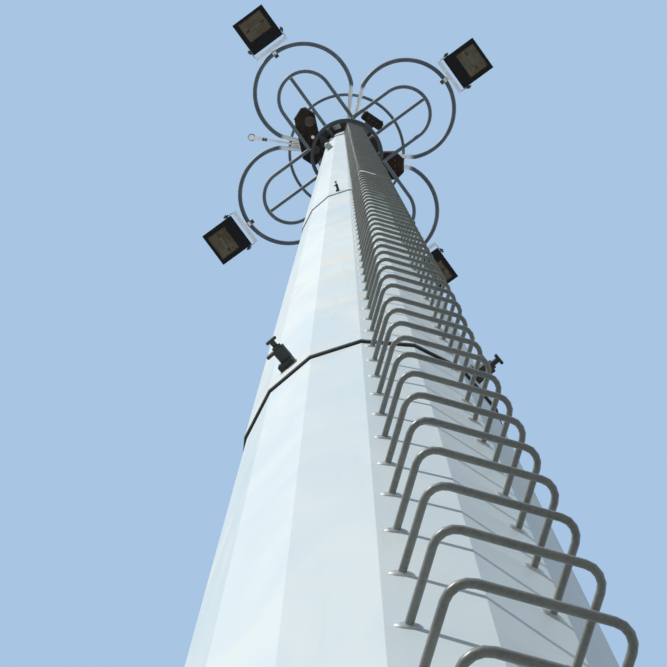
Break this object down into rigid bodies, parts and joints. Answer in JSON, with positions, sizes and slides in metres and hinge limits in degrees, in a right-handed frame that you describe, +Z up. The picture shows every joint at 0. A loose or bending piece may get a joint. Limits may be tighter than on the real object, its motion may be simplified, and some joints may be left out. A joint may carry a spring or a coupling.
{
  "type": "monopole cell tower",
  "caption": "Tapered many-sided steel pole with climbing rungs and a head of bent-tube petals that carry tilting floodlights.",
  "frame": {"origin": "middle of the base flange's underside, at ground level", "axes": "+Z up the pole, -Y towards the side with the climbing rungs"},
  "size_m": [5.559, 5.559, 33.612],
  "materials": {
    "pole_steel": "satin",
    "galvanised_steel": "dull",
    "head_steel": "satin",
    "housing_paint": "satin",
    "reflector_metal": "polished",
    "light_glass": "clear",
    "equipment_paint": "satin",
    "lamp_lens": "gloss"
  },
  "bodies": {
    "tower": {"base_flange": "pole_steel", "pole_lower": "pole_steel", "pole_middle": "pole_steel", "pole_upper": "pole_steel", "pole_cap": "pole_steel", "rungs_lower": "galvanised_steel", "rungs_middle": "galvanised_steel", "rungs_upper": "galvanised_steel", "lower_joint_bolts": "galvanised_steel", "upper_joint_bolts": "galvanised_steel", "head_collar": "head_steel", "hoop": "head_steel", "hub_ring": "head_steel", "spokes": "head_steel", "outer_petal_1": "head_steel", "inner_petal_1": "head_steel", "light_bracket_1": "head_steel", "outer_petal_2": "head_steel", "inner_petal_2": "head_steel", "light_bracket_2": "head_steel", "outer_petal_3": "head_steel", "inner_petal_3": "head_steel", "light_bracket_3": "head_steel", "outer_petal_4": "head_steel", "inner_petal_4": "head_steel", "light_bracket_4": "head_steel", "equipment_brackets": "head_steel", "equipment_box_left": "equipment_paint", "equipment_box_right": "equipment_paint", "equipment_box_rear": "equipment_paint", "lamp_arm": "head_steel", "obstruction_lamp": "lamp_lens"},
    "floodlight_1": {"light_housing_1": "housing_paint", "light_reflector_1": "reflector_metal", "light_glass_1": "light_glass"},
    "floodlight_2": {"light_housing_2": "housing_paint", "light_reflector_2": "reflector_metal", "light_glass_2": "light_glass"},
    "floodlight_3": {"light_housing_3": "housing_paint", "light_reflector_3": "reflector_metal", "light_glass_3": "light_glass"},
    "floodlight_4": {"light_housing_4": "housing_paint", "light_reflector_4": "reflector_metal", "light_glass_4": "light_glass"}
  },
  "joints": [
    {"name": "floodlight_tilt_1", "type": "hinge", "parent": "tower", "child": "floodlight_1", "pos_m": [-2.09611, -1.63766, 33.4], "axis": [-0.6157, 0.788, 0], "range_deg": [-20, 60]},
    {"name": "floodlight_tilt_2", "type": "hinge", "parent": "tower", "child": "floodlight_2", "pos_m": [1.63766, -2.09611, 33.4], "axis": [-0.788, -0.6157, 0], "range_deg": [-20, 60]},
    {"name": "floodlight_tilt_3", "type": "hinge", "parent": "tower", "child": "floodlight_3", "pos_m": [2.09611, 1.63766, 33.4], "axis": [0.6157, -0.788, 0], "range_deg": [-20, 60]},
    {"name": "floodlight_tilt_4", "type": "hinge", "parent": "tower", "child": "floodlight_4", "pos_m": [-1.63766, 2.09611, 33.4], "axis": [0.788, 0.6157, 0], "range_deg": [-20, 60]}
  ]
}
